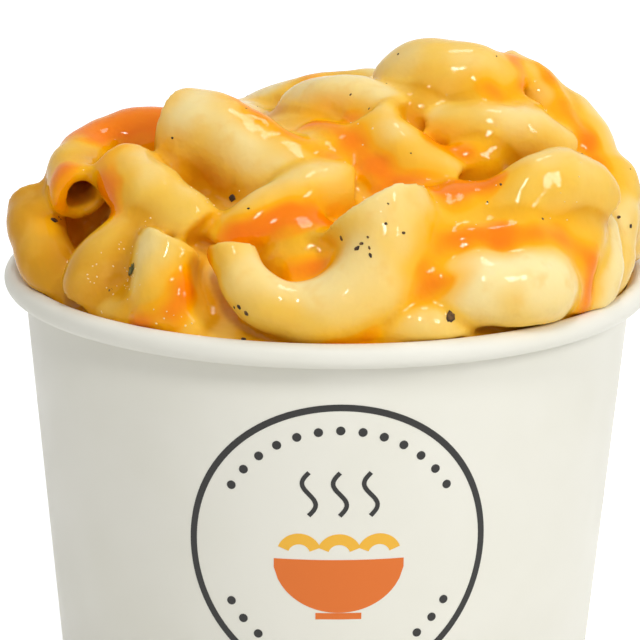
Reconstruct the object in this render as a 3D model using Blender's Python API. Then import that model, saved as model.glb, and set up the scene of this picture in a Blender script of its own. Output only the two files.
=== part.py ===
"""A heap of elbow macaroni in a paper cup: the cup's rolled sidewall, its base disc, and the heap as one solid.

Metres, +Z up. The cup stands on z = 0 and its axis is the Z axis. The sizes below are in millimetres.
"""

import math

import bmesh
import bpy
import numpy as np
from mathutils import Matrix, Vector

MM = 0.001
SEGMENTS = 64

CUP_HEIGHT = 60.0
RIM_RADIUS = 45.0  # outside of the rolled rim
ROLL_RADIUS = 1.6  # of the roll's cross-section
ROLL_TURN = 290  # degrees that the paper curls through
ROLL_STEPS = 8
FOOT_RADIUS = 37.2  # outside of the wall at the table
PAPER = 0.5
GAP = 0.3  # between one sub-part and the next

FLANGE = 0.4  # the base disc's turned-down edge
FLANGE_FOOT = 1.2  # height of that edge's lower end
DISC_TOP = 7.75
SKIRT_TOP = 6.4  # the wall folds up inside the flange to here

BODY_FOOT = 2.0  # the food starts below the disc, and is cut to the space it has
BODY_TOP = 58.0  # the food fills the cup to here
BODY_OVER = 2.0  # beyond the wall, before the cut
MOUND_REACH = 40.0  # radius of the core
MOUND_WIDE = 46.0  # half-width of the crests' dome
MOUND_DEEP = 41.0  # half-depth of it
MOUND_RISE = 24.0
MOUND_MIDDLE = 5.0  # the mound is highest a little to the right
CORE_DEPTH = 5.0  # of the solid core below the crests
COATING = 0.3  # of sauce on each elbow
ELBOW_STEPS = 6  # along an elbow
REMESH = 1.5  # width of the skin's cells
KEPT_FACES = 0.14  # of the skin's faces, once thinned
HEAP_TOP = 96.0  # of the space that the heap may fill

# Start, middle and end of the centre line of each elbow that lies at the front and on top, and its radius at both ends.
FRONT_ELBOWS = (
    ((-40, -6, 69), (-39, -12, 65), (-33, -18, 58), 4.0, 4.4),
    ((-37, 8, 65), (-38, 0, 65), (-36, -6, 60), 4.6, 4.4),
    ((-33, -14, 72), (-34, -6, 74), (-29, 2, 74), 3.9, 4.3),
    ((-34, 4, 70), (-29, 2, 75), (-21, 1, 76), 4.6, 4.6),
    ((-31, -24, 62), (-29, -25, 66), (-22, -23, 67), 4.0, 4.2),
    ((-28, -26, 59), (-24, -30, 59), (-18, -32, 61), 3.5, 3.6),
    ((-27, -13, 75), (-23, -20, 73), (-17, -26, 69), 4.3, 4.8),
    ((-20, -29, 69), (-21, -31, 65), (-18, -33, 58), 3.9, 4.6),
    ((-20, -5, 81), (-12, -11, 79), (-5, -15, 75), 5.0, 5.5),
    ((-13, -27, 68), (-7, -25, 73), (2, -20, 74), 3.4, 4.0),
    ((-12, -34, 70), (-5, -39, 63), (6, -31, 74), 3.0, 7.2),
    ((-4, 1, 80), (1, -3, 83), (8, -8, 81), 3.9, 4.0),
    ((11, 1, 83), (17, -2, 86), (22, -3, 83), 6.2, 5.4),
    ((6, -11, 81), (10, -16, 78), (16, -19, 74), 3.7, 4.2),
    ((15, -9, 80), (22, -11, 81), (30, -8, 77), 3.6, 4.2),
    ((24, 3, 86), (29, 0, 83), (30, -4, 77), 3.6, 3.6),
    ((28, 4, 82), (34, 0, 78), (38, -5, 70), 4.2, 4.5),
    ((23, -25, 72), (28, -23, 76), (34, -17, 73), 4.3, 5.0),
    ((37, -4, 72), (38, -9, 67), (35, -15, 60), 4.4, 4.4),
    ((33, -14, 70), (35, -19, 65), (32, -23, 59), 4.1, 4.3),
    ((13, -31, 64), (21, -35, 65), (28, -27, 64), 4.6, 5.3),
    ((7, -37, 58), (11, -39, 61), (16, -37, 58), 2.6, 2.8),
)
# Thick places of sauce between them: centre and radius.
LUMPS = (
    ((-3, -29, 66), 6.0),
    ((17, -25, 71), 5.0),
    ((0, -12, 76), 5.0),
    ((24, -28, 69), 5.0),
    ((31, -22, 68), 5.5),
    ((9, -27, 71), 5.0),
    ((-8, -17, 73), 4.0),
    ((18, -30, 69), 4.0),
    ((-28, -19, 66), 5.0),
)

GOLDEN_ANGLE = 2.39996  # radians
BACK_ELBOWS = 38
BACK_SPACING = 6.4
BACK_DEPTH = 2.4  # of their middles below the crests
BACK_EDGE = 7.0  # y from which the back's elbows start, at the cup's axis
BACK_LEAN = 0.3  # how much further to the front they start for each mm to the right
BACK_TILT = (-0.3, 1.3)  # radians
BACK_HALF_LENGTH = (8.5, 11.0)
BACK_BOW = (5.0, 8.0)
BACK_RADIUS = (4.3, 5.3)
SLOPE_STEP = 0.5


def clear_scene():
    for obj in list(bpy.data.objects):
        bpy.data.objects.remove(obj, do_unlink=True)


def material(name, colour, roughness):
    made = bpy.data.materials.new(name)
    made.use_nodes = True
    shader = made.node_tree.nodes["Principled BSDF"]
    shader.inputs["Base Color"].default_value = (*colour, 1.0)
    shader.inputs["Roughness"].default_value = roughness
    return made


def add_object(name, bm, surface):
    mesh = bpy.data.meshes.new(name)
    bm.to_mesh(mesh)
    bm.free()
    obj = bpy.data.objects.new(name, mesh)
    bpy.context.scene.collection.objects.link(obj)
    if surface:
        mesh.materials.append(surface)
    return obj


def lathe(profile, name, surface=None, smooth=True):
    """Turns a profile of (radius, height) in mm about Z. It closes on itself, or starts and ends on the axis."""
    bm = bmesh.new()
    points = [bm.verts.new((r * MM, 0.0, z * MM)) for r, z in profile]
    edges = [bm.edges.new(pair) for pair in zip(points, points[1:])]
    if profile[0][0] > 0:
        edges.append(bm.edges.new((points[-1], points[0])))
    bmesh.ops.spin(
        bm,
        geom=points + edges,
        cent=(0, 0, 0),
        axis=(0, 0, 1),
        angle=math.tau,
        steps=SEGMENTS,
        use_merge=True,
    )
    bmesh.ops.remove_doubles(bm, verts=bm.verts, dist=1e-6)
    bmesh.ops.recalc_face_normals(bm, faces=bm.faces)
    for face in bm.faces:
        face.smooth = smooth
    return add_object(name, bm, surface)


def wall_line():
    """Radius at z = 0 and slope of the line half-way through the wall's paper, which meets the roll at its inner side."""
    foot = FOOT_RADIUS - PAPER / 2
    top = RIM_RADIUS - 2 * ROLL_RADIUS + PAPER / 2
    return foot, (top - foot) / (CUP_HEIGHT - ROLL_RADIUS)


def wall_radius(z, offset=0.0):
    foot, slope = wall_line()
    return foot + slope * z + offset


def roll(radius):
    """Points of one face of the rolled paper, from the wall, over the top and round to the paper's end."""
    centre = RIM_RADIUS - ROLL_RADIUS, CUP_HEIGHT - ROLL_RADIUS
    for step in range(ROLL_STEPS + 1):
        angle = math.radians(180 - ROLL_TURN * step / ROLL_STEPS)
        yield centre[0] + radius * math.cos(angle), centre[1] + radius * math.sin(angle)


def cup_sidewall(surface):
    half = PAPER / 2
    skirt = -2 * GAP - FLANGE - PAPER  # from the wall's middle line to the skirt's
    outside = [(wall_radius(0, half), 0.0)]
    hook = list(roll(ROLL_RADIUS - PAPER))
    outer = list(roll(ROLL_RADIUS))
    inside = [
        (wall_radius(PAPER, -half), PAPER),
        (wall_radius(PAPER, skirt + half), PAPER),
        (wall_radius(SKIRT_TOP, skirt + half), SKIRT_TOP),
        (wall_radius(SKIRT_TOP, skirt - half), SKIRT_TOP),
        (wall_radius(0, skirt - half), 0.0),
    ]
    # Up the outside, round the hollow of the roll, back over its top and down the inside.
    return lathe(outside + hook + outer[::-1] + inside, "cup_sidewall", surface)


def cup_base(surface):
    edge = -PAPER / 2 - GAP  # outside of the flange
    flange = edge - FLANGE
    profile = [
        (0.0, DISC_TOP),
        (wall_radius(DISC_TOP, edge), DISC_TOP),
        (wall_radius(FLANGE_FOOT, edge), FLANGE_FOOT),
        (wall_radius(FLANGE_FOOT, flange), FLANGE_FOOT),
        (wall_radius(DISC_TOP - PAPER, flange), DISC_TOP - PAPER),
        (0.0, DISC_TOP - PAPER),
    ]
    return lathe(profile, "cup_base", surface)


def arc_points(start, middle, end, steps):
    """Points along the circle through three points, from the first to the last."""
    a, m, b = Vector(start), Vector(middle), Vector(end)
    u, v = m - a, b - a
    normal = u.cross(v)
    centre = a + (normal.cross(u) * v.length_squared + v.cross(normal) * u.length_squared) / (
        2 * normal.length_squared
    )
    x = (a - centre).normalized()
    y = normal.normalized().cross(x)
    sweep = math.atan2((b - centre).dot(y), (b - centre).dot(x)) % math.tau
    radius = (a - centre).length
    for step in range(steps + 1):
        angle = sweep * step / steps
        yield centre + radius * (x * math.cos(angle) + y * math.sin(angle))


def mound_height(x, y):
    """Height of the heap's crests: a dome, highest a little to the right and steepest at the rim."""
    across = np.maximum(0, 1 - ((x - MOUND_MIDDLE) / MOUND_WIDE) ** 2)
    along = np.maximum(0, 1 - (y / MOUND_DEEP) ** 2)
    return BODY_TOP + MOUND_RISE * across * along


def back_elbows():
    """Elbows on a golden-angle spiral over the back of the mound, each along the surface at a chance turn and tilt."""
    chance = np.random.default_rng(4)
    k = np.arange(1, BACK_ELBOWS + 1)
    radius, angle = BACK_SPACING * np.sqrt(k), GOLDEN_ANGLE * k
    x, y = radius * np.cos(angle), radius * np.sin(angle)
    turn, tilt = chance.uniform(0, math.tau, BACK_ELBOWS), chance.uniform(*BACK_TILT, BACK_ELBOWS)
    half, bow = chance.uniform(*BACK_HALF_LENGTH, BACK_ELBOWS), chance.uniform(*BACK_BOW, BACK_ELBOWS)
    size = chance.uniform(*BACK_RADIUS, BACK_ELBOWS)
    step = SLOPE_STEP
    rise_x = (mound_height(x + step, y) - mound_height(x - step, y)) / (2 * step)
    rise_y = (mound_height(x, y + step) - mound_height(x, y - step)) / (2 * step)
    at_back = y > BACK_EDGE - BACK_LEAN * np.maximum(x, 0)
    columns = (x, y, mound_height(x, y), rise_x, rise_y, turn, tilt, half, bow, size)
    placed = []
    for px, py, pz, slope_x, slope_y, heading, lean, reach, bend, thick in np.stack(columns, 1)[at_back].tolist():
        up = Vector((-slope_x, -slope_y, 1)).normalized()
        flat = Vector((math.cos(heading), math.sin(heading), 0))
        along = (flat - flat.dot(up) * up).normalized()
        out = math.cos(lean) * up.cross(along) + math.sin(lean) * up
        place = Vector((px, py, pz)) - BACK_DEPTH * up
        ends = [place + s * reach * along - 0.5 * bend * out for s in (-1, 1)]
        placed.append((ends[0], place + 0.5 * bend * out, ends[1], thick, thick))
    return placed


def heap_envelope():
    """The space that the heap may fill: clear of the base, the wall and the roll by a gap, then straight up."""
    floor = DISC_TOP + GAP
    inside = -PAPER / 2 - GAP
    shoulder = CUP_HEIGHT - 2.2 * ROLL_RADIUS
    lip = RIM_RADIUS - 2 * ROLL_RADIUS - GAP
    profile = [
        (0.0, floor),
        (wall_radius(floor, inside), floor),
        (wall_radius(shoulder, inside), shoulder),
        (lip, CUP_HEIGHT - ROLL_RADIUS / 2),
        (lip + 0.6, CUP_HEIGHT + GAP / 2),
        (RIM_RADIUS - ROLL_RADIUS, CUP_HEIGHT + 1.5 * GAP),
        (RIM_RADIUS, CUP_HEIGHT + 1.5 * GAP),
        (RIM_RADIUS, HEAP_TOP),
        (0.0, HEAP_TOP),
    ]
    envelope = lathe(profile, "heap_envelope")
    envelope.hide_render = True
    envelope.display_type = "WIRE"
    return envelope


def elbow_rods():
    """A mesh of bent rods, one for each elbow, whose radius goes evenly from one end's to the other's."""
    guide = bpy.data.curves.new("elbow_guide", "CURVE")
    guide.dimensions = "3D"
    guide.bevel_depth = MM
    guide.bevel_resolution = 2
    guide.use_fill_caps = True
    for start, middle, end, first, last in (*FRONT_ELBOWS, *back_elbows()):
        spline = guide.splines.new("POLY")
        spline.points.add(ELBOW_STEPS)
        for step, place in enumerate(arc_points(start, middle, end, ELBOW_STEPS)):
            spline.points[step].co = (*(place * MM), 1.0)
            spline.points[step].radius = first + (last - first) * step / ELBOW_STEPS + COATING
    rods = bpy.data.objects.new("elbow_guide", guide)
    bpy.context.scene.collection.objects.link(rods)
    mesh = bpy.data.meshes.new_from_object(rods.evaluated_get(bpy.context.evaluated_depsgraph_get()))
    bpy.data.objects.remove(rods, do_unlink=True)
    return mesh


def macaroni_heap(surface):
    """Elbows and lumps over a core of the same dish, made one skin, thinned, and cut to the space it has."""
    bm = bmesh.new()
    bm.from_mesh(elbow_rods())
    for centre, radius in LUMPS:
        place = Matrix.Translation(Vector(centre) * MM)
        bmesh.ops.create_icosphere(bm, subdivisions=2, radius=radius * MM, matrix=place)

    body = bmesh.ops.create_cone(
        bm,
        cap_ends=True,
        segments=SEGMENTS,
        radius1=wall_radius(BODY_FOOT, BODY_OVER) * MM,
        radius2=wall_radius(BODY_TOP, BODY_OVER) * MM,
        depth=(BODY_TOP - BODY_FOOT) * MM,
    )["verts"]
    bmesh.ops.translate(bm, verts=body, vec=(0, 0, (BODY_TOP + BODY_FOOT) / 2 * MM))
    core = bmesh.ops.create_uvsphere(bm, u_segments=48, v_segments=32, radius=MOUND_REACH)["verts"]
    for point in core:
        x, y, z = point.co
        z = float(mound_height(x, y)) - CORE_DEPTH if z > -0.01 else BODY_TOP - 2 * CORE_DEPTH
        point.co = Vector((x, y, z)) * MM

    heap = add_object("macaroni_heap", bm, surface)
    skin = heap.modifiers.new("skin", "REMESH")
    skin.mode = "VOXEL"
    skin.voxel_size = REMESH * MM
    skin.use_smooth_shade = True
    thin = heap.modifiers.new("thin", "DECIMATE")
    thin.ratio = KEPT_FACES
    thin.use_collapse_triangulate = True
    cut = heap.modifiers.new("cut", "BOOLEAN")
    cut.operation = "INTERSECT"
    cut.solver = "EXACT"
    cut.object = heap_envelope()
    return heap


clear_scene()
cup_sidewall(material("paper_sidewall", (0.82, 0.79, 0.72), 0.55))
cup_base(material("paper_base", (0.80, 0.77, 0.70), 0.6))
macaroni_heap(material("macaroni_and_cheese", (0.83, 0.47, 0.08), 0.35))
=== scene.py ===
"""Looks of a paper cup heaped with elbow macaroni in melted cheddar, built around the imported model.

Lengths in this file are millimetres, in the model's own frame: +Z up, the cup's axis on the Z axis, its
foot on z = 0 and its printed side towards -Y. Each mesh is turned into metres as it is made.
"""

import math

import bpy
import numpy as np
from mathutils import Matrix, Vector


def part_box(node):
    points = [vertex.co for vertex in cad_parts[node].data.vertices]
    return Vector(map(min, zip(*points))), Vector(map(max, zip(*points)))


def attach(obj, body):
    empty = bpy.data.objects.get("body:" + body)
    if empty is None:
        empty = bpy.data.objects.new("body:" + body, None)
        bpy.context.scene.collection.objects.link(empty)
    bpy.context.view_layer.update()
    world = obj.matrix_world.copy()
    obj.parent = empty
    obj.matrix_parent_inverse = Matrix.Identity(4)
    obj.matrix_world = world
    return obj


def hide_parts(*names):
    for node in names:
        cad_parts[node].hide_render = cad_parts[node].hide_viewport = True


MM = 0.001
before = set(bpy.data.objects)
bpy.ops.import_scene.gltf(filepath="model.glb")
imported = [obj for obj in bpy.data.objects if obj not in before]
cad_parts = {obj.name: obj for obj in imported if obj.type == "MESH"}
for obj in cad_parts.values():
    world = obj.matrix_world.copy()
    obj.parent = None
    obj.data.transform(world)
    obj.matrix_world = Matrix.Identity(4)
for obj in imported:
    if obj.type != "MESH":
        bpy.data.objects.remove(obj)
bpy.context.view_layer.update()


def box_mm(node):
    low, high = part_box(node)
    return np.array(low) / MM, np.array(high) / MM


# ---------------------------------------------------------------- sizes

WALL_LOW, WALL_HIGH = box_mm("cup_sidewall")
CUP_HEIGHT = WALL_HIGH[2]
RIM_RADIUS = WALL_HIGH[0]  # outside of the rolled rim
ROLL_RADIUS = 1.6
FOOT_RADIUS = 37.2  # outside of the wall at the table
BOARD = 0.5  # thickness of the paper
DISC_TOP = box_mm("cup_base")[1][2]
ROUND = 192  # steps round the cup

GRID_STEP = 0.57  # of the grid on which the heap's surface is worked out
HEAP_FLOOR = 56.5  # below it the cup hides the heap, and a plain filling takes its place
FILLET = 2.1  # how far sauce rounds off the corner between two elbows
DRAPE = 3.6  # how far melted cheddar bridges between elbows
CHEDDAR_THICK = 0.35
CORE_DEPTH = 6.5  # of the solid core below the crests
CORE_RADIUS = 40
BRIM_RADIUS = 41.5  # of the sauce that fills the cup up to its rim
HEAP_REACH = 47  # of the grid from the cup's axis
HEAP_TOP = 95
MOUND_FOOT, MOUND_RISE = 58, 24  # height of the crests at the rim, and their rise to the top
MOUND_RIGHT = 5  # of the top from the cup's axis
MOUND_WIDE, MOUND_DEEP = 46, 41  # half sizes, left to right and front to back
GOLDEN_ANGLE = 2.39996  # radians
BACK_EDGE = 7  # y from which the upper layer of strewn elbows starts, at the cup's axis
BACK_LEAN = 0.3  # how much further to the front it starts for each mm to the right
# Between the heap's field and the paper. The finished skin still crosses the roll by up to 0.04 in places.
CUP_GAP = 0.05
FILLING_GAP = 0.3
INK_THICK = 0.04

# Front and top of the heap, from the left to the right. Each row is one elbow: start, middle and end of its
# centre line, its radius at the start and at the end, how deep its ends are hollow, and its colour from
# pale 0 to amber 1.2, which also holds painted shade: the elbows on the shaded left are the most amber.
ELBOWS = (
    ((-40, -6, 69), (-39, -12, 65), (-33, -18, 58), 4.0, 4.4, 5, 1.20),
    ((-37, 8, 65), (-38, 0, 65), (-36, -6, 60), 4.6, 4.4, 0, 1.20),
    ((-33, -14, 72), (-34, -6, 74), (-29, 2, 74), 3.9, 4.3, 9, 1.00),
    ((-34, 4, 70), (-29, 2, 75), (-21, 1, 76), 4.6, 4.6, 4, 0.70),
    ((-31, -24, 62), (-29, -25, 66), (-22, -23, 67), 4.0, 4.2, 0, 1.00),
    ((-28, -26, 59), (-24, -30, 59), (-18, -32, 61), 3.5, 3.6, 3, 0.80),
    ((-27, -13, 75), (-23, -20, 73), (-17, -26, 69), 4.3, 4.8, 0, 0.65),
    ((-20, -29, 69), (-21, -31, 65), (-18, -33, 58), 3.9, 4.6, 3, 0.30),
    ((-20, -6, 80), (-12, -12, 78), (-4, -17, 73), 5.7, 6.2, 3, 0.30),
    ((-13, -27, 68), (-7, -25, 73), (2, -20, 74), 3.4, 4.0, 2, 0.50),
    ((-12, -34, 70), (-5, -39, 63), (6, -31, 74), 3.0, 7.2, 0, 0.40),
    ((-4, 1, 80), (1, -3, 83), (8, -8, 81), 3.9, 4.0, 3, 0.35),
    ((11, 1, 83), (17, -2, 86), (22, -3, 83), 6.2, 5.4, 3, 0.50),
    ((6, -11, 81), (10, -16, 78), (16, -19, 74), 3.7, 4.2, 2, 0.55),
    ((15, -9, 80), (22, -11, 81), (30, -8, 77), 3.6, 4.2, 2, 0.45),
    ((24, 3, 86), (29, 0, 83), (30, -4, 77), 3.6, 3.6, 2, 0.35),
    ((28, 4, 82), (34, 0, 78), (38, -5, 70), 4.2, 4.5, 2, 0.30),
    ((23, -25, 72), (28, -23, 76), (34, -17, 73), 4.3, 5.0, 0, 0.60),
    ((37, -4, 72), (38, -9, 67), (35, -15, 60), 4.4, 4.4, 0, 0.25),
    ((33, -14, 70), (35, -19, 65), (32, -23, 59), 4.1, 4.3, 0, 0.10),
    ((13, -31, 64), (21, -35, 65), (28, -27, 64), 4.6, 5.3, 0, 0.10),
    ((7, -37, 58), (11, -39, 61), (16, -37, 58), 2.6, 2.8, 2, 0.45),
)

# Thick places of sauce and small curds: centre and radius.
LUMPS = (
    ((-3, -29, 66), 6.0),
    ((14, -30, 72), 1.9),
    ((17, -25, 71), 5.0),
    ((0, -12, 76), 5.0),
    ((24, -28, 69), 5.0),
    ((31, -22, 68), 5.5),
    ((9, -27, 71), 5.0),
    ((19, -8, 83), 1.6),
    ((27, -8, 82), 1.9),
    ((-27, -15, 74), 2.6),
    ((-8, -17, 73), 4.0),
    ((18, -30, 69), 4.0),
    ((-28, -18, 65), 4.2),
    ((12, -5, 81), 4.5),
    ((20, -13, 77), 4.0),
    ((-19, -10, 74), 4.0),
    ((-16, -23, 69), 2.8),
)

# Melted cheddar: each strip's way over the heap, and its half-width.
CHEDDAR = (
    (((-34, -2, 76), (-28, -1, 80), (-22, -2, 81)), 4.6),
    (((-35, -14, 75), (-36, -16, 71)), 2.4),
    (((-28, -13, 77), (-28, -18, 74), (-28, -22, 70)), 2.6),
    (((-21, -7, 82), (-22, -8, 80)), 1.3),
    (((-15, -34, 69), (-18, -36, 65), (-20, -37, 62), (-24, -35, 60)), 2.1),
    (((-13, -10, 83), (-9, -14, 82), (-4, -16, 79), (0, -18, 77)), 1.4),
    (((-2, -10, 80), (2, -14, 78), (7, -20, 76), (13, -23, 74)), 2.4),
    (((3, -8, 82), (6, -12, 81)), 1.3),
    (((11, -14, 81), (15, -16, 79), (19, -17, 79)), 1.9),
    (((25, -1, 89), (25, -5, 86), (24, -8, 83), (20, -8, 84)), 1.8),
    (((24, -8, 83), (28, -7, 83)), 1.4),
    (((28, 1, 87), (31, -2, 82)), 1.1),
    (((32, -4, 81), (35, -6, 78), (37, -8, 75)), 2.0),
    (((13, -27, 74), (17, -26, 75), (20, -25, 75)), 3.6),
    (((13, -32, 71), (22, -33, 72), (31, -30, 71), (34, -27, 67), (33, -27, 60)), 2.1),
    (((14, -33, 70), (11, -35, 67), (9, -37, 63)), 2.3),
    (((-11, -29, 71), (-5, -28, 71), (1, -28, 71)), 2.9),
    (((-4, -33, 67), (0, -33, 67)), 1.8),
    (((0, -38, 61), (6, -38, 61)), 1.2),
    (((-30, 12, 72), (-22, 18, 72), (-12, 17, 76)), 2.2),
    (((6, 16, 78), (14, 20, 76), (18, 27, 71)), 2.6),
    (((26, 14, 76), (30, 20, 69)), 2.0),
    (((-8, 30, 68), (0, 33, 66), (8, 36, 62)), 2.2),
    (((-2, 8, 82), (-6, 14, 78)), 2.0),
)

# Cracked black pepper: middle of a group, how far it strews, count, and shortest and longest flake.
PEPPER = (
    ((-22, -10, 77), 0.0, 1, 1.4, 1.4),
    ((-11, -18, 72), 0.0, 1, 1.3, 1.3),
    ((16, -41, 63), 0.0, 1, 1.8, 1.8),
    ((6, -37, 73), 2.0, 14, 0.3, 0.8),
    ((-38, -12, 67), 1.6, 5, 0.5, 1.0),
    ((-33, -27, 63), 2.0, 4, 0.6, 1.1),
    ((-11, -41, 61), 3.0, 5, 0.5, 0.9),
    ((38, -11, 68), 1.2, 2, 0.7, 1.0),
    ((26, -28, 74), 2.0, 3, 0.4, 0.8),
    ((29, -34, 62), 2.0, 3, 0.4, 0.8),
    ((0, 0, 74), 22.0, 90, 0.2, 0.45),
)
HERB = (-26, -31, 66)

# Oily beads of sauce, coloured pale so that they show as painted glints: as above.
BEADS = (
    ((-27, -31, 67), 2.4, 36, 0.15, 0.35),
    ((-31, -28, 63), 2.6, 16, 0.15, 0.35),
    ((-20, -37, 60), 1.8, 16, 0.15, 0.35),
    ((-17, -24, 73), 2.2, 18, 0.15, 0.3),
    ((18, -28, 73), 3.0, 10, 0.15, 0.4),
    ((3, -14, 79), 3.0, 14, 0.15, 0.35),
    ((30, -24, 76), 3.0, 10, 0.15, 0.3),
)

# The print on the wall: a ring, its middle and size.
PRINT_X, PRINT_Z, PRINT_RADIUS = 1.9, 31.5, 20.0


# ---------------------------------------------------------------- nodes and materials


def linear(code):
    """The linear colour of an sRGB hex value."""
    parts = np.array([int(code[i : i + 2], 16) for i in (0, 2, 4)]) / 255
    parts = np.where(parts <= 0.04045, parts / 12.92, ((parts + 0.055) / 1.055) ** 2.4)
    return (*(float(p) for p in parts), 1.0)


def add(tree, kind, inputs=None, **settings):
    """Adds a node. Settings are its properties, and inputs its sockets: each a value, or the output that
    feeds it."""
    node = tree.nodes.new(kind)
    for name, value in settings.items():
        setattr(node, name, value)
    for name, value in (inputs or {}).items():
        if isinstance(value, bpy.types.NodeSocket):
            tree.links.new(value, node.inputs[name])
        else:
            node.inputs[name].default_value = value
    return node


def new_material(name):
    made = bpy.data.materials.new(name)
    made.use_nodes = True
    return made, made.node_tree, made.node_tree.nodes["Principled BSDF"]


def mix(tree, share, low, high):
    """Colour output of a mix of two colours, each a hex code or an output."""
    node = add(tree, "ShaderNodeMix", data_type="RGBA")
    for socket, value in ((0, share), (6, low), (7, high)):
        if isinstance(value, bpy.types.NodeSocket):
            tree.links.new(value, node.inputs[socket])
        else:
            node.inputs[socket].default_value = linear(value)
    return node.outputs[2]


def ramp(tree, value, low, high, to_low=0.0, to_high=1.0):
    """Value carried smoothly from the range low..high to the range to_low..to_high."""
    inputs = {"Value": value, "From Min": low, "From Max": high, "To Min": to_low, "To Max": to_high}
    return add(tree, "ShaderNodeMapRange", inputs, interpolation_type="SMOOTHSTEP").outputs[0]


def noise(tree, millimetres, detail=2.0, roughness=0.5, stretch=(1, 1, 1)):
    """Noise whose spots are about so many millimetres across, from 0 to 1."""
    place = add(tree, "ShaderNodeTexCoord").outputs["Object"]
    if stretch != (1, 1, 1):
        place = add(tree, "ShaderNodeMapping", {"Vector": place, "Scale": stretch}).outputs[0]
    inputs = {"Vector": place, "Scale": 1 / (millimetres * MM), "Detail": detail, "Roughness": roughness}
    return add(tree, "ShaderNodeTexNoise", inputs).outputs[0]


def attribute(tree, name):
    return add(tree, "ShaderNodeAttribute", attribute_name=name).outputs["Fac"]


def macaroni_and_cheese():
    """Boiled durum-wheat elbows in a cheese sauce, with orange annatto cheddar melted over them and not yet
    set. Pasta is pale on its crests and golden where sauce is thick, and painted shade turns it amber in
    hollows hidden from light, on faces that turn down and on the shaded left. Cheddar tints the sauce round
    it."""
    made, tree, shader = new_material("boiled_macaroni_in_melted_cheese")
    cloud = ramp(tree, noise(tree, 9.0, 1.0), 0.35, 0.7, -0.12, 0.12)
    # The share of amber: sauce thickness with painted shade from the sauce mark, a random cloud, and each
    # elbow's tint, which also holds painted shade.
    share = add(tree, "ShaderNodeMath", {0: attribute(tree, "sauce"), 1: cloud}, operation="ADD").outputs[0]
    inputs = {0: attribute(tree, "tint"), 1: 0.75, 2: share}
    share = add(tree, "ShaderNodeMath", inputs, operation="MULTIPLY_ADD").outputs[0]
    body = mix(tree, ramp(tree, share, -0.15, 0.55), "FAE6A8", "F5C44C")
    body = mix(tree, ramp(tree, share, 0.45, 0.95), body, "DE9C10")
    body = mix(tree, ramp(tree, noise(tree, 3.0, 2.0), 0.5, 0.8, 0.0, 0.35), body, "F2B845")
    spread = attribute(tree, "halo")
    body = mix(tree, ramp(tree, spread, 0.0, 1.0, 0.0, 0.7), body, "FDB80C")
    thick = add(tree, "ShaderNodeMath", {0: noise(tree, 6.0, 1.5), 1: spread}, operation="ADD").outputs[0]
    orange = mix(tree, ramp(tree, thick, 1.4, 2.2), "FFB000", "F98200")
    body = mix(tree, ramp(tree, attribute(tree, "cheddar"), 0.15, 0.85), body, orange)
    tree.links.new(body, shader.inputs["Base Color"])
    gloss = ramp(tree, noise(tree, 5.0, 2.0), 0.3, 0.75, 0.2, 0.42)
    tree.links.new(gloss, shader.inputs["Roughness"])
    wet = ramp(tree, attribute(tree, "sauce"), 0.0, 0.35, 0.35, 0.7)
    inputs = {"Height": noise(tree, 2.2, 2.0), "Strength": wet, "Distance": 0.4 * MM}
    bump = add(tree, "ShaderNodeBump", inputs)
    tree.links.new(bump.outputs[0], shader.inputs["Normal"])
    shader.inputs["Specular IOR Level"].default_value = 0.0
    shader.inputs["Coat Weight"].default_value = 0.65
    shader.inputs["Coat Roughness"].default_value = 0.05
    shader.inputs["Coat IOR"].default_value = 1.33
    shader.inputs["Subsurface Weight"].default_value = 0.2
    shader.inputs["Subsurface Radius"].default_value = (1.0, 0.8, 0.3)
    shader.inputs["Subsurface Scale"].default_value = 3.0 * MM
    return made


def plain_material(name, colour, roughness, spots=None, spot_size=1.0):
    """One colour, clouded with a second one in spots so many millimetres across."""
    made, tree, shader = new_material(name)
    if spots:
        share = ramp(tree, noise(tree, spot_size, 2.0), 0.4, 0.65)
        tree.links.new(mix(tree, share, colour, spots), shader.inputs["Base Color"])
    else:
        shader.inputs["Base Color"].default_value = linear(colour)
    shader.inputs["Roughness"].default_value = roughness
    return made


def cup_board():
    """Clay-coated bleached cupboard with a polyethylene film: near-white, soft sheen, faint fibre relief."""
    made, tree, shader = new_material("coated_white_paperboard")
    cloud = ramp(tree, noise(tree, 14.0, 2.0), 0.35, 0.7)
    tree.links.new(mix(tree, cloud, "EFEDE1", "EDEBDE"), shader.inputs["Base Color"])
    gloss = ramp(tree, noise(tree, 8.0, 2.0), 0.3, 0.7, 0.38, 0.48)
    tree.links.new(gloss, shader.inputs["Roughness"])
    shader.inputs["Specular IOR Level"].default_value = 0.25
    fibre = noise(tree, 0.7, 3.0, 0.6, stretch=(1, 1, 0.5))
    bump = add(tree, "ShaderNodeBump", {"Height": fibre, "Strength": 0.12, "Distance": 0.05 * MM})
    tree.links.new(bump.outputs[0], shader.inputs["Normal"])
    return made


# ---------------------------------------------------------------- meshes


def make_piece(name, points, faces, surface, attributes=None, smooth=True):
    """A mesh from arrays of points in mm and of faces, with one named number for each point where given."""
    mesh = bpy.data.meshes.new(name)
    mesh.from_pydata(points * MM, [], faces if isinstance(faces, list) else faces.tolist())
    mesh.polygons.foreach_set("use_smooth", np.full(len(mesh.polygons), smooth))
    for label, values in (attributes or {}).items():
        layer = mesh.attributes.new(label, "FLOAT", "POINT")
        layer.data.foreach_set("value", np.ascontiguousarray(values, np.float32))
    mesh.materials.append(surface)
    mesh.update()
    obj = bpy.data.objects.new(name, mesh)
    bpy.context.scene.collection.objects.link(obj)
    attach(obj, "root")
    return obj


def grid_faces(rows, columns, close_rows=False, close_columns=False):
    """Quads between the points of a grid that is stored row by row, closed on itself along either way."""
    i = np.arange(rows if close_rows else rows - 1)[:, None]
    j = np.arange(columns if close_columns else columns - 1)[None, :]
    ni, nj = (i + 1) % rows, (j + 1) % columns
    corners = [i * columns + j, i * columns + nj, ni * columns + nj, ni * columns + j]
    return np.stack([np.broadcast_to(c, (i.size, j.size)) for c in corners], -1).reshape(-1, 4)


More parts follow.
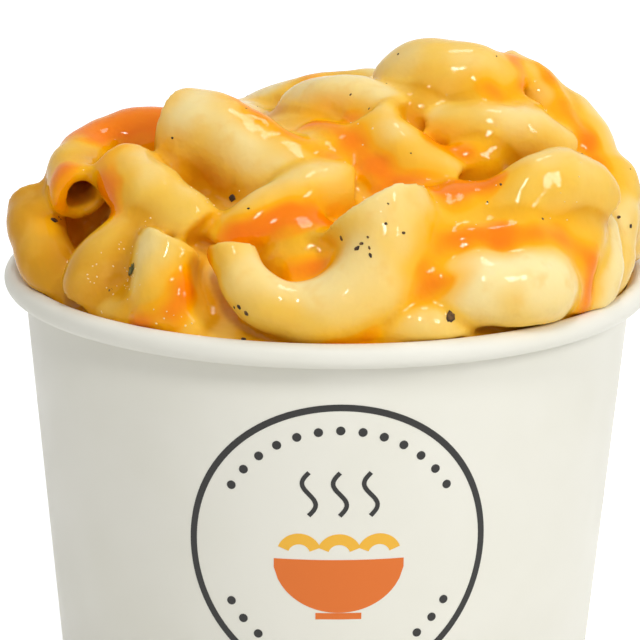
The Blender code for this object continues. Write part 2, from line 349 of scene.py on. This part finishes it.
def facing_out(points, quads):
    """The quads, turned over if the closed surface that they make has its inside out."""
    a, b, c, d = (points[quads[:, k]] for k in range(4))
    volume = np.einsum("ij,ij->", a, np.cross(b, c)) + np.einsum("ij,ij->", a, np.cross(c, d))
    return quads if volume > 0 else quads[:, ::-1]


def turned(profile):
    """Points (r cos t, r sin t, z) of a closed profile of (r, z) turned about the Z axis, and their quads."""
    r, z = np.asarray(profile, float).T
    t = np.arange(ROUND) * math.tau / ROUND
    points = np.stack([np.outer(r, np.cos(t)), np.outer(r, np.sin(t)), np.outer(z, np.ones(ROUND))], -1)
    return points.reshape(-1, 3), grid_faces(len(r), ROUND, close_rows=True, close_columns=True)


# ---------------------------------------------------------------- the paper cup


def wall_radius(z, offset=0.0):
    """Radius of the wall's middle line at height z: a straight cone from the foot to the inner side of the
    roll."""
    foot = FOOT_RADIUS - BOARD / 2
    top = RIM_RADIUS - 2 * ROLL_RADIUS + BOARD / 2
    return foot + (top - foot) * z / (CUP_HEIGHT - ROLL_RADIUS) + offset


def cup_sidewall(surface):
    """The wall's closed section, turned: up the outside, round the roll's hollow, back over its top, down
    the inside, and round the folded skirt that holds the base. The roll is two arcs about one centre."""
    half = BOARD / 2
    skirt, skirt_top = -1.5, 6.4
    curl = 290  # degrees
    angle = np.radians(180 - curl * np.linspace(0, 1, 25))
    centre = np.array([RIM_RADIUS - ROLL_RADIUS, CUP_HEIGHT - ROLL_RADIUS])
    circle = np.stack([np.cos(angle), np.sin(angle)], -1)
    outside = [(wall_radius(z, half), z) for z in (0.25, 20, 40, 55)]
    inside = [(wall_radius(z, -half), z) for z in (55, 40, 20, BOARD)]
    fold = [(wall_radius(BOARD, skirt + half), BOARD), (wall_radius(skirt_top, skirt + half), skirt_top)]
    fold += [(wall_radius(skirt_top, skirt - half), skirt_top), (wall_radius(0, skirt - half), 0.25)]
    fold += [(wall_radius(0, skirt - half + 0.25), 0), (wall_radius(0, half - 0.25), 0)]
    hollow = centre + (ROLL_RADIUS - BOARD) * circle
    outer = centre + ROLL_RADIUS * circle[::-1]
    points, faces = turned([*outside, *hollow, *outer, *inside, *fold])
    piece = make_piece("cup_sidewall_paper", points, facing_out(points, faces), surface)
    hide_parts("cup_sidewall")


def on_wall(name, ribbons, surface, thickness, turn=0.0):
    """Closed sheets that hug the wall. Each ribbon runs between two lines of (arc length, height) points,
    measured from the cup's front. Its section is a loop: across from one line to the other at the sheet's
    thickness outside the wall, and back a little inside the wall."""
    steps = 9
    share = np.linspace(0, 1, steps)[None, :, None]
    points, faces, start = [], [], 0
    for left, right, closed in ribbons:
        top = np.asarray(left, float)[:, None] * (1 - share) + np.asarray(right, float)[:, None] * share
        loop = np.concatenate([top, top[:, ::-1]], 1)
        lift = np.repeat((thickness, -0.1), steps)[None, :]
        z = loop[..., 1]
        r = wall_radius(z, BOARD / 2 + lift)
        angle = loop[..., 0] / wall_radius(z, BOARD / 2) + turn
        points.append(np.stack([r * np.sin(angle), -r * np.cos(angle), z], -1).reshape(-1, 3))
        rows, columns = z.shape
        sides = grid_faces(rows, columns, close_rows=closed, close_columns=True)
        if not closed:
            j = np.arange(steps - 1)
            cap = np.stack([j, columns - 1 - j, columns - 2 - j, j + 1], 1)
            sides = np.concatenate([sides, cap[:, ::-1], cap + (rows - 1) * columns])
        faces.append(facing_out(points[-1], sides) + start)
        start += len(points[-1])
    make_piece(name, np.concatenate(points), np.concatenate(faces), surface, smooth=False)


def arc(centre, radius, first, last, steps):
    angle = np.radians(np.linspace(first, last, steps))
    return np.stack([centre[0] + radius * np.cos(angle), centre[1] + radius * np.sin(angle)], -1)


def stroke(line, width):
    """A ribbon of even width along a line of points."""
    line = np.asarray(line, float)
    along = np.gradient(line, axis=0)
    side = np.stack([-along[:, 1], along[:, 0]], -1)
    side *= 0.5 * width / np.linalg.norm(side, axis=1, keepdims=True)
    return line + side, line - side, False


def cup_print():
    """Plain print on the cup's front: a ring, two arcs of dots in it, and a bowl of elbows that steams."""
    middle = (PRINT_X, PRINT_Z)
    ink = plain_material("black_printing_ink", "161512", 0.5)
    ring = (arc(middle, PRINT_RADIUS, 0, 357.5, 144), arc(middle, PRINT_RADIUS - 0.9, 0, 357.5, 144), True)
    marks = [ring]
    dots_radius = 16.4
    for first, last, count in ((150, 30, 13), (-150, -30, 13)):
        for angle in np.radians(np.linspace(first, last, count)):
            dot = (PRINT_X + dots_radius * math.cos(angle), PRINT_Z + dots_radius * math.sin(angle))
            marks.append((arc(dot, 0.6, 95, 265, 9), arc(dot, 0.6, 85, -85, 9), False))
    rise = np.linspace(0, 1, 24)
    for x in (-4.0, 0.0, 4.0):
        wave = 0.9 * np.sin(rise * math.tau)
        marks.append(stroke(np.stack([PRINT_X + x + wave, PRINT_Z + 4.6 + 6.0 * rise], -1), 0.6))
    on_wall("print_black", marks, ink, INK_THICK)

    bowl_ink = plain_material("orange_printing_ink", "E2711D", 0.5)
    across = np.linspace(-8.5, 8.5, 33)
    rim = np.stack([PRINT_X + across, np.full(33, PRINT_Z - 1.6)], -1)
    belly = rim - np.stack([np.zeros(33), 7.4 * np.sqrt(np.maximum(1 - (across / 8.6) ** 2, 0)) + 0.1], -1)
    foot = stroke([(PRINT_X - 3, PRINT_Z - 9.6), (PRINT_X, PRINT_Z - 9.6), (PRINT_X + 3, PRINT_Z - 9.6)], 0.9)
    on_wall("print_orange", [(rim, belly, False), foot], bowl_ink, INK_THICK)

    pasta_ink = plain_material("yellow_printing_ink", "F3B834", 0.5)
    elbows = [stroke(arc((PRINT_X + x, PRINT_Z - 0.9), 2.2, 20, 160, 24), 1.5) for x in (-5.2, 0.0, 5.2)]
    on_wall("print_yellow", elbows, pasta_ink, INK_THICK)


def cup_seam(surface):
    """The glued overlap of the wall at the back: one more layer of board, from the foot to the roll."""
    high = CUP_HEIGHT - 2 * ROLL_RADIUS - 0.6
    edges = [np.stack([np.full(9, x), np.linspace(0.4, high, 9)], -1) for x in (-3.5, 3.5)]
    on_wall("cup_seam", [(*edges, False)], surface, 0.25, turn=math.pi)


# ---------------------------------------------------------------- the heap's field


def arcs_of(start, middle, end):
    """Circles through rows of three points: centre, radius, axes in and out of the plane, and end angles."""
    u, v = middle - start, end - start
    normal = np.cross(u, v)
    square = (normal**2).sum(-1, keepdims=True)
    uu, vv = (u**2).sum(-1, keepdims=True), (v**2).sum(-1, keepdims=True)
    centre = start + (np.cross(normal, u) * vv + np.cross(v, normal) * uu) / (2 * square)
    radius = np.linalg.norm(start - centre, axis=-1)
    x = (middle - centre) / radius[:, None]
    n = normal / np.sqrt(square)
    y = np.cross(n, x)
    first, last = (np.arctan2(((p - centre) * y).sum(-1), ((p - centre) * x).sum(-1)) for p in (start, end))
    return centre, radius, x, y, n, first, last


def smooth_min(a, b, k):
    """Lower of two fields, rounded over the width k where they meet, and the share of a."""
    share = np.clip(0.5 + 0.5 * (b - a) / k, 0, 1)
    return b + (a - b) * share - k * share * (1 - share), share


def smooth_max(a, b, k):
    share = np.clip(0.5 + 0.5 * (a - b) / k, 0, 1)
    return b + (a - b) * share + k * share * (1 - share)


class Grid:
    """Points of a box, evenly spaced, with windows on it and values read between its points."""

    def __init__(self, low, high, step):
        self.low, self.step = np.array(low, float), step
        self.shape = tuple(int((b - a) / step) + 2 for a, b in zip(low, high))
        self.axes = [a + step * np.arange(n, dtype=np.float32) for a, n in zip(low, self.shape)]

    def window(self, low, high):
        """The slices that hold a smaller box, and its three coordinates ready to broadcast."""
        first = np.maximum(0, np.floor((np.asarray(low) - self.low) / self.step).astype(int))
        last = np.minimum(self.shape, np.ceil((np.asarray(high) - self.low) / self.step).astype(int) + 1)
        cut = tuple(slice(a, max(a, b)) for a, b in zip(first, last))
        x, y, z = (axis[s] for axis, s in zip(self.axes, cut))
        return cut, x[:, None, None], y[None, :, None], z[None, None, :]

    def read(self, field, points):
        """Field at each point, by straight lines between the eight grid points round it."""
        place = (points - self.low) / self.step
        cell = np.clip(place.astype(int), 0, np.array(self.shape) - 2)
        t = np.clip(place - cell, 0, 1)
        total = 0
        for corner in np.ndindex(2, 2, 2):
            weight = np.prod(np.where(corner, t, 1 - t), axis=1)
            total = total + weight * field[tuple((cell + corner).T)]
        return total

    def slope(self, field, points):
        """Unit direction in which the field grows at each point, by central differences."""
        ways = np.eye(3) * self.step
        rise = np.stack([self.read(field, points + w) - self.read(field, points - w) for w in ways], -1)
        return rise / np.maximum(np.linalg.norm(rise, axis=1, keepdims=True), 1e-9)

    def settle(self, field, points, height=0.0, rounds=6):
        """Points moved along the slope until the field there equals height."""
        for _ in range(rounds):
            points = points - (self.read(field, points) - height)[:, None] * self.slope(field, points)
        return points


def elbow_field(x, y, z, arc, radii, hollow, edge=0.6):
    """Distance to a bent tube: round the circle of its centre line, cut square at both ends, hollow to a
    depth."""
    centre, bend, ax, ay, an, first, last = arc
    qx, qy, qz = x - centre[0], y - centre[1], z - centre[2]
    px = qx * ax[0] + qy * ax[1] + qz * ax[2]
    py = qx * ay[0] + qy * ay[1] + qz * ay[2]
    pn = qx * an[0] + qy * an[1] + qz * an[2]
    reach = np.sqrt(px * px + py * py)
    angle = np.arctan2(py, px)
    along = np.clip((angle - first) / (last - first), 0, 1)
    radius = radii[0] + (radii[1] - radii[0]) * along**1.5
    away = np.sqrt((reach - bend) ** 2 + pn**2)
    middle, half = (first + last) / 2, abs(last - first) / 2
    turn = np.abs((angle - middle + math.pi) % math.tau - math.pi) - half
    past = reach * np.sin(np.clip(turn, -math.pi / 2, math.pi / 2))
    tube = smooth_max(away - radius, past, edge)
    if hollow:
        bore = smooth_max(away - 0.62 * radius, -(past + hollow), edge)
        tube = smooth_max(tube, -bore, edge)
    return tube


def cup_clearance(x, y, z, gap):
    """Distance outside the space that food may fill: within the wall, and clear of the roll by a gap."""
    r = np.sqrt(x * x + y * y)
    roll = np.sqrt((r - (RIM_RADIUS - ROLL_RADIUS)) ** 2 + (z - (CUP_HEIGHT - ROLL_RADIUS)) ** 2)
    below = r - wall_radius(z, -BOARD / 2 - gap) + np.maximum(0, z - CUP_HEIGHT + ROLL_RADIUS) * -3
    return np.maximum(ROLL_RADIUS + gap - roll, below)


def net_surface(field, grid):
    """Surface where the field is zero: a point in each cell that it crosses, at the mean of the crossings
    on the cell's edges, and a quad across each crossed edge of the grid."""
    inside = field < 0
    sizes = [n - 1 for n in field.shape]
    corners = list(np.ndindex(2, 2, 2))
    cuts = [tuple(slice(o, n + o) for o, n in zip(c, sizes)) for c in corners]
    count = sum(inside[cut].astype(np.uint8) for cut in cuts)
    active = (count > 0) & (count < 8)
    cell = np.argwhere(active)
    number = np.full(active.shape, -1, np.int32)
    number[active] = np.arange(len(cell))
    value = {c: field[tuple((cell + c).T)] for c in corners}
    total, hits = np.zeros((len(cell), 3)), np.zeros(len(cell))
    for a in corners:
        for axis in range(3):
            if a[axis]:
                continue
            b = tuple(1 if k == axis else a[k] for k in range(3))
            crossed = (value[a] < 0) != (value[b] < 0)
            point = np.tile(np.array(a, float), (crossed.sum(), 1))
            point[:, axis] += value[a][crossed] / (value[a] - value[b])[crossed]
            total[crossed] += point
            hits[crossed] += 1
    points = (cell + total / hits[:, None]) * grid.step + grid.low
    quads = []
    for axis in range(3):
        u, v = (axis + 1) % 3, (axis + 2) % 3
        near, far = [slice(1, -1)] * 3, [slice(1, -1)] * 3
        near[axis], far[axis] = slice(0, -1), slice(1, None)
        a, b = inside[tuple(near)], inside[tuple(far)]
        for way, mask in ((1, a & ~b), (-1, b & ~a)):
            edge = np.argwhere(mask) + [0 if k == axis else 1 for k in range(3)]
            ring = []
            for du, dv in ((1, 1), (0, 1), (0, 0), (1, 0)):
                step = [0, 0, 0]
                step[u], step[v] = du, dv
                ring.append(number[tuple((edge - step).T)])
            quads.append(np.stack(ring[::way], 1))
    return points, np.concatenate(quads)


def relaxed(points, quads, rounds=2):
    """Points eased towards the mean of their neighbours and back again, which evens the net without
    shrinking it."""
    one, two = quads.ravel(), np.roll(quads, -1, 1).ravel()
    a, b = np.concatenate([one, two]), np.concatenate([two, one])
    many = np.bincount(a, minlength=len(points))[:, None]
    for share in (0.5, -0.52) * rounds:
        mean = np.stack([np.bincount(a, points[b, k], len(points)) for k in range(3)], 1) / many
        points = points + share * (mean - points)
    return points


def largest_part(points, quads):
    """The net without loose crumbs: only the faces joined to the largest connected set."""
    label = np.arange(len(points))
    one, two = quads.ravel(), np.roll(quads, -1, 1).ravel()
    while True:
        low = np.minimum(label[one], label[two])
        new = label.copy()
        np.minimum.at(new, one, low)
        np.minimum.at(new, two, low)
        new = new[new]
        if (new == label).all():
            break
        label = new
    keep = label == np.bincount(label).argmax()
    order = np.cumsum(keep) - 1
    return points[keep], order[quads[keep[quads[:, 0]]]]


# ---------------------------------------------------------------- the heap


def mound_height(x, y):
    """Height of the crests of the heap: a dome, highest a little to the right and steepest at the rim."""
    across = np.maximum(0, 1 - ((x - MOUND_RIGHT) / MOUND_WIDE) ** 2)
    return MOUND_FOOT + MOUND_RISE * across * np.maximum(0, 1 - (y / MOUND_DEEP) ** 2)


def mound_elbows(count, spacing, depth, seed, edge=-np.inf):
    """Elbows strewn over the mound on a golden-angle spiral, each lying along the surface at a chance turn
    and tilt. Those in front of the edge are left out. Rows as in ELBOWS."""
    chance = np.random.default_rng(seed)
    k = np.arange(1, count + 1)
    radius, angle = spacing * np.sqrt(k), GOLDEN_ANGLE * k
    x, y = radius * np.cos(angle), radius * np.sin(angle)
    turn, tilt = chance.uniform(0, math.tau, count), chance.uniform(-0.3, 1.3, count)
    half, bow = chance.uniform(8.5, 11, count), chance.uniform(5, 8, count)
    size, tint = chance.uniform(4.3, 5.3, count), chance.uniform(0.1, 0.7, count)
    hollow = chance.choice([0, 0, 3, 6], count)
    step = 0.5
    slope_x = (mound_height(x + step, y) - mound_height(x - step, y)) / (2 * step)
    slope_y = (mound_height(x, y + step) - mound_height(x, y - step)) / (2 * step)
    up = np.stack([-slope_x, -slope_y, np.ones(count)], -1)
    up /= np.linalg.norm(up, axis=1, keepdims=True)
    flat = np.stack([np.cos(turn), np.sin(turn), np.zeros(count)], -1)
    along = flat - (flat * up).sum(1, keepdims=True) * up
    along /= np.linalg.norm(along, axis=1, keepdims=True)
    side = np.cross(up, along)
    place = np.stack([x, y, mound_height(x, y)], -1) - depth * up
    out = np.cos(tilt)[:, None] * side + np.sin(tilt)[:, None] * up
    rows = []
    for n in np.flatnonzero(y > edge - BACK_LEAN * np.maximum(x, 0)):
        a = place[n] - half[n] * along[n] - 0.5 * bow[n] * out[n]
        b = place[n] + half[n] * along[n] - 0.5 * bow[n] * out[n]
        rows.append((a, place[n] + 0.5 * bow[n] * out[n], b, size[n], size[n], hollow[n], tint[n]))
    return rows


def heap_fields():
    """Grid and fields of the heap: elbows with sauce in their corners, the same bridged wider, and their
    tint, which also holds painted shade."""
    low, high = (-HEAP_REACH, -HEAP_REACH, HEAP_FLOOR - 1), (HEAP_REACH, HEAP_REACH, HEAP_TOP)
    grid = Grid(low, high, GRID_STEP)
    _, x, y, z = grid.window(grid.low, grid.low + 1000)
    dome = 0.8 * (z - mound_height(x, y) + CORE_DEPTH)
    brim = np.sqrt(x * x + y * y) - BRIM_RADIUS + np.maximum(0, z - CUP_HEIGHT + 1.5) * 1.5
    core = np.maximum(dome, np.sqrt(x * x + y * y) - CORE_RADIUS)
    mound = smooth_min(core, brim, 3.0)[0].astype(np.float32)
    rows = list(ELBOWS)
    rows += mound_elbows(38, 6.4, 2.4, 4, BACK_EDGE)
    rows += mound_elbows(60, 4.9, 8.0, 9)
    start, middle, end = (np.array([row[i] for row in rows], float) for i in range(3))
    arcs = arcs_of(start, middle, end)
    hard, close, wide = mound.copy(), mound.copy(), mound.copy()
    tint = np.full(grid.shape, 0.9, np.float32)
    reach = 5.0
    for n, row in enumerate(rows):
        span = np.stack([start[n], middle[n], end[n]])
        margin = max(row[3], row[4]) + reach + 3
        cut, x, y, z = grid.window(span.min(0) - margin, span.max(0) + margin)
        tube = elbow_field(x, y, z, [part[n] for part in arcs], row[3:5], row[5]).astype(np.float32)
        hard[cut] = np.minimum(hard[cut], tube)
        close[cut], share = smooth_min(tube, close[cut], FILLET)
        tint[cut] += share * (row[6] - tint[cut])
        wide[cut] = smooth_min(tube, wide[cut], DRAPE)[0]
    for centre, radius in LUMPS:
        cut, x, y, z = grid.window(np.array(centre) - radius - reach, np.array(centre) + radius + reach)
        ball = np.sqrt((x - centre[0]) ** 2 + (y - centre[1]) ** 2 + (z - centre[2]) ** 2) - radius
        close[cut] = smooth_min(ball, close[cut], FILLET)[0]
        wide[cut] = smooth_min(ball, wide[cut], DRAPE)[0]
    return grid, hard, close, wide, tint


def uneven(x, y, z, size):
    """A slow wave over space, from -1 to 1: the product of three sines whose axes are askew."""
    a = np.sin((x + 0.4 * y - 0.3 * z) / size)
    b = np.sin((y + 0.5 * z - 0.2 * x) / size + 1.7)
    c = np.sin((z - 0.6 * x + 0.3 * y) / size + 4.1)
    return (a + b + c) / 3


def strip_field(grid, wide):
    """Distance beyond the edge of the nearest cheddar strip. A strip's points first settle onto the heap; its
    half-width wavers along the way."""
    field = np.full(grid.shape, 1e3, np.float32)
    for way, half in CHEDDAR:
        ends = grid.settle(wide, np.array(way, float))
        for a, b in zip(ends, ends[1:]):
            margin = half + 6
            cut, x, y, z = grid.window(np.minimum(a, b) - margin, np.maximum(a, b) + margin)
            d = b - a
            t = ((x - a[0]) * d[0] + (y - a[1]) * d[1] + (z - a[2]) * d[2]) / (d @ d)
            t = np.clip(t, 0, 1)
            away = np.sqrt(sum((q - p - t * e) ** 2 for q, p, e in zip((x, y, z), a, d)))
            width = half * (1 + 0.25 * uneven(x, y, z, 1.6) + 0.15 * uneven(x, y, z, 0.7))
            field[cut] = smooth_min((away - width).astype(np.float32), field[cut], 2.0)[0]
    return field


def heap():
    """The elbows in sauce and cheddar as one skin, marked with what colours it. Gives the grid and the
    skin's field."""
    grid, hard, close, wide, tint = heap_fields()
    _, x, y, z = grid.window(grid.low, grid.low + 1000)
    strips = strip_field(grid, wide)
    sheet = smooth_max(wide - CHEDDAR_THICK + 0.15 * uneven(x, y, z, 1.3), strips, 3.0)
    buried = np.clip(0.2 + 1.3 * uneven(x + 9, y, z, 4.5), 0, 0.75) * np.clip((x + 40) / 24, 0.15, 1)
    skin = close + buried * (wide - close)
    skin += 0.35 * uneven(x, y, z, 2.3) + 0.22 * uneven(x, y, z, 1.1) + 0.06 * uneven(x, y, z, 0.5)
    skin = smooth_min(skin, sheet, 1.0)[0]
    skin = smooth_max(skin, cup_clearance(x, y, z, CUP_GAP), 0.9)
    skin = np.maximum(skin, HEAP_FLOOR - z).astype(np.float32)
    points, quads = net_surface(skin, grid)
    points = relaxed(points, quads)
    points, quads = largest_part(points, quads)

    fillet = grid.read(hard, points) - grid.read(close, points)
    normal = grid.slope(close, points)
    # How far the skin is hidden from light round it, used below as painted shade in hollows.
    occlusion_shade = sum(1 - np.clip(grid.read(wide, points + d * normal) / d, 0, 1) for d in (2.0, 4.0, 7.0)) / 3
    beyond = grid.read(strips, points) + 0.5 * uneven(*points.T, 0.9)
    marks = {
        # sauce: thickness of sauce in the corners between elbows, plus painted shade where the skin is hidden
        # from light and where it faces down.
        "sauce": np.clip(fillet / 0.8, 0, 0.4) + 0.2 * occlusion_shade + 0.25 * (0.5 - normal[:, 2]),
        "tint": grid.read(tint, points),
        "cheddar": np.clip(0.5 - beyond / 1.3, 0, 1),
        "halo": np.clip(1 - beyond / 3.5, 0, 2),
    }
    skin_piece = make_piece("macaroni", points, quads, macaroni_and_cheese(), marks)
    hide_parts("macaroni_heap")
    return grid, skin


def grains(name, places, lengths, normals, surface, seed, flat, rough):
    """Small uneven crumbs on a surface: spheres on a grid of turn and pitch, each stretched along a chance
    tangent, flattened along the normal, and dented by chance at every point."""
    chance = np.random.default_rng(seed)
    rows, columns, count = 6, 8, len(places)
    pitch = (np.arange(rows) + 0.5) / rows * math.pi
    turn = np.arange(columns) / columns * math.tau
    ball = np.stack(
        [
            np.outer(np.sin(pitch), np.cos(turn)),
            np.outer(np.sin(pitch), np.sin(turn)),
            np.outer(np.cos(pitch), np.ones(columns)),
        ],
        -1,
    ).reshape(-1, 3)
    ball = np.concatenate([ball, [(0, 0, 1), (0, 0, -1)]])
    half = 0.5 * lengths
    size = np.stack([half, half * chance.uniform(0.5, 0.9, count), half * flat], -1)
    local = ball[None] * size[:, None] * chance.uniform(1 - rough, 1 + rough, (count, len(ball), 1))
    spin = chance.normal(size=(count, 3))
    x = np.cross(spin, normals)
    x /= np.linalg.norm(x, axis=1, keepdims=True)
    y = np.cross(normals, x)
    axes = np.stack([x, y, normals], 1)
    points = places[:, None] + np.einsum("nki,nij->nkj", local, axes)
    sides = grid_faces(rows, columns, close_columns=True)
    j = np.arange(columns)
    nj = (j + 1) % columns
    top, bottom = rows * columns, rows * columns + 1
    low = (rows - 1) * columns
    top_fan = np.stack([j, nj, 0 * j + top], 1)
    bottom_fan = np.stack([low + nj, low + j, 0 * j + bottom], 1)
    caps = np.concatenate([top_fan, bottom_fan])
    many = np.arange(count)[:, None, None] * len(ball)
    quads = (sides[None, :, ::-1] + many).reshape(-1, 4)
    tris = (caps[None] + many).reshape(-1, 3)
    make_piece(name, points.reshape(-1, 3), [*quads.tolist(), *tris.tolist()], surface)


def strewn(grid, skin, groups, height, seed):
    """Places on the heap's skin for groups of flakes, strewn by chance about their middles, and the flakes'
    lengths."""
    chance = np.random.default_rng(seed)
    places = [
        np.array(middle) + spread * chance.normal(size=(count, 3))
        for middle, spread, count, _, _ in groups
    ]
    lengths = [chance.uniform(short, long, count) for _, _, count, short, long in groups]
    places = grid.settle(skin, np.concatenate(places), height, 14)
    flat = np.hypot(places[:, 0], places[:, 1])
    kept = (np.abs(grid.read(skin, places) - height) < 0.2) & (flat < 43) & (places[:, 2] > CUP_HEIGHT - 1)
    return places[kept], np.concatenate(lengths)[kept]


def seasoning(grid, skin):
    """Cracked pepper, one torn flake of parsley, and beads of oily sauce coloured pale as painted glints."""
    places, lengths = strewn(grid, skin, PEPPER, 0.0, 31)
    pepper = plain_material("cracked_black_pepper", "2E2015", 0.8, "6B4A22", 0.8)
    grains("pepper", places, lengths, grid.slope(skin, places), pepper, 5, 0.25, 0.3)

    leaf = np.array(HERB) + np.array([(0, 0, 0), (1.2, -0.3, 0.4), (-0.9, 0, -0.4)])
    leaf = grid.settle(skin, leaf, 0.1)
    herb = plain_material("dried_parsley", "4A4C22", 0.8, "6E6A34", 0.8)
    grains("herb_flake", leaf, np.array([1.7, 1.2, 0.9]), grid.slope(skin, leaf), herb, 8, 0.25, 0.4)

    places, lengths = strewn(grid, skin, BEADS, 0.0, 12)
    # The beads' pale colour is partly the fat and partly painted glints.
    glint_oil = plain_material("oily_beads_with_painted_glints", "FFE3A0", 0.15)
    grains("sauce_beads", places, lengths, grid.slope(skin, places), glint_oil, 12, 0.6, 0.03)


def filling(surface):
    """The food inside the cup, below what can be seen: two rings (r cos t, r sin t, z) inside the cup's
    cone, joined by quads, and closed at each end by a fan of triangles to a middle point."""
    inside = -BOARD / 2 - FILLING_GAP
    steps = 96
    heights = (DISC_TOP + 0.3, HEAP_FLOOR + 0.5)
    t = np.arange(steps) * math.tau / steps
    rings = []
    for z in heights:
        r = wall_radius(z, inside)
        rings.append(np.stack([r * np.cos(t), r * np.sin(t), 0 * t + z], 1))
    points = np.concatenate([*rings, [(0, 0, z) for z in heights]])
    j = np.arange(steps)
    nj = (j + 1) % steps
    low_fan = np.stack([nj, j, 0 * j + 2 * steps], 1)
    high_fan = np.stack([steps + j, steps + nj, 0 * j + 2 * steps + 1], 1)
    faces = [*grid_faces(2, steps, close_columns=True).tolist(), *low_fan.tolist(), *high_fan.tolist()]
    make_piece("filling", points, faces, surface)


# ---------------------------------------------------------------- floor, light and camera


def seen_rays(tree, other, seen):
    """The number `seen` for rays from the camera, off a gloss or through glass, and `other` for all the
    rest."""
    path = add(tree, "ShaderNodeLightPath").outputs
    rays = path["Is Camera Ray"]
    for name in ("Is Glossy Ray", "Is Transmission Ray"):
        rays = add(tree, "ShaderNodeMath", {0: rays, 1: path[name]}, operation="MAXIMUM").outputs[0]
    inputs = {"Factor": rays, "A": other, "B": seen}
    return add(tree, "ShaderNodeMix", inputs, data_type="FLOAT").outputs[0]


def studio():
    size = 3000
    corners = np.array([(-size, -size, 0), (size, -size, 0), (size, size, 0), (-size, size, 0)], float) * MM
    mesh = bpy.data.meshes.new("floor")
    mesh.from_pydata(corners, [], [(0, 1, 2, 3)])
    floor = bpy.data.objects.new("floor", mesh)
    bpy.context.scene.collection.objects.link(floor)
    made, tree, shader = new_material("white_sweep")
    shader.inputs["Base Color"].default_value = linear("F4F4F4")
    shader.inputs["Roughness"].default_value = 0.9
    shader.inputs["Emission Color"].default_value = (1, 1, 1, 1)
    tree.links.new(seen_rays(tree, 0.0, 0.6), shader.inputs["Emission Strength"])
    mesh.materials.append(made)

    world = bpy.data.worlds.new("studio")
    bpy.context.scene.world = world
    world.use_nodes = True
    tree = world.node_tree
    back = tree.nodes["Background"]
    back.inputs["Color"].default_value = (1, 1, 1, 1)
    way = add(tree, "ShaderNodeSeparateXYZ", {0: add(tree, "ShaderNodeTexCoord").outputs["Generated"]})
    from_left = ramp(tree, way.outputs["X"], -1.0, 1.0, 0.34, 0.56)
    tree.links.new(seen_rays(tree, from_left, 1.0), back.inputs["Strength"])

    lamps = (
        ("key", (420, -380, 420), (80, 220), 1.25),
        ("front", (-40, -430, 590), (60, 160), 1.2),
        ("top", (60, 160, 620), (90, 160), 0.45),
    )
    for name, place, sides, watts in lamps:
        lamp = bpy.data.lights.new(name, "AREA")
        lamp.shape = "RECTANGLE"
        lamp.size, lamp.size_y = (s * MM for s in sides)
        lamp.energy = watts
        obj = bpy.data.objects.new(name, lamp)
        bpy.context.scene.collection.objects.link(obj)
        obj.location = Vector(place) * MM
        obj.rotation_euler = (Vector((0, 0, 60)) * MM - obj.location).to_track_quat("-Z", "Y").to_euler()


def aim_camera():
    """A long lens, 16 degrees above the cup's middle, so that the cup's foot lies below the frame."""
    pitch, distance, turn = math.radians(16), 420.0, math.radians(0.6)
    place = Vector((0, -distance * math.cos(pitch), 45 + distance * math.sin(pitch)))
    target = Vector((-1, 0, 51.3))
    camera = bpy.data.cameras.new("camera")
    camera.lens = 167.5
    obj = bpy.data.objects.new("camera", camera)
    bpy.context.scene.collection.objects.link(obj)
    face = (target - place).to_track_quat("-Z", "Y").to_matrix().to_4x4()
    obj.matrix_world = Matrix.Translation(place * MM) @ face @ Matrix.Rotation(turn, 4, "Z")
    bpy.context.scene.camera = obj


bpy.context.scene.view_settings.view_transform = "Standard"
board = cup_board()
cup_sidewall(board)
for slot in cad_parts["cup_base"].material_slots:
    slot.material = board
cup_print()
cup_seam(board)
grid, skin = heap()
seasoning(grid, skin)
filling(bpy.data.materials["boiled_macaroni_in_melted_cheese"])
studio()
aim_camera()
